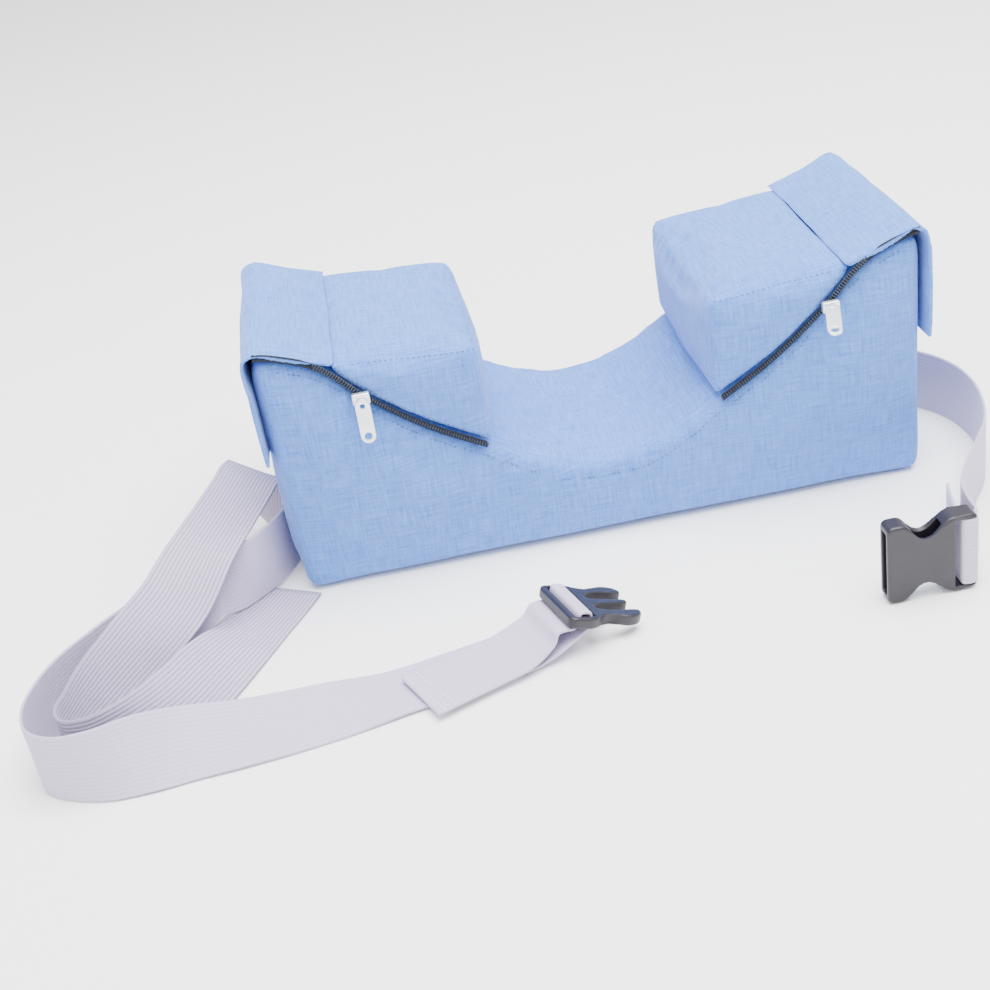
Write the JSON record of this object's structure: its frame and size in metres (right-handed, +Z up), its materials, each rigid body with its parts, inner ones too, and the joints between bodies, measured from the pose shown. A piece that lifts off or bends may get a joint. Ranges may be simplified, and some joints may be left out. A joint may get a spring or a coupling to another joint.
{
  "type": "neck support pillow with belt",
  "caption": "Wave-topped foam neck support pillow with zipped wedges, cover flaps and an elastic side-release buckle belt.",
  "frame": {"origin": "middle of the base cushion's underside, on the surface it rests on", "axes": "+X along the pillow towards the buckle socket's end, +Y away from its front face, +Z up out of the underside"},
  "size_m": [0.5636, 0.3032, 0.1584],
  "materials": {
    "blue_cloth": "light blue chambray-like woven cloth",
    "lilac_webbing": "ribbed elastic webbing, pale lilac grey",
    "navy_zip": "dark navy woven zip tape with fine teeth",
    "silver_tab": "plated zip slider and pull tab",
    "black_buckle": "moulded near-black plastic"
  },
  "bodies": {
    "root": {"base_cushion": "blue_cloth", "belt_long": "lilac_webbing", "belt_loop": "lilac_webbing", "belt_short": "lilac_webbing", "buckle_plug": "black_buckle", "buckle_socket": "black_buckle", "flap_left": "blue_cloth", "flap_right": "blue_cloth", "pull_left": "silver_tab", "pull_right": "silver_tab", "slider_left": "silver_tab", "slider_right": "silver_tab", "wedge_left": "blue_cloth", "wedge_right": "blue_cloth", "zip_left": "navy_zip", "zip_right": "navy_zip"}
  },
  "joints": []
}
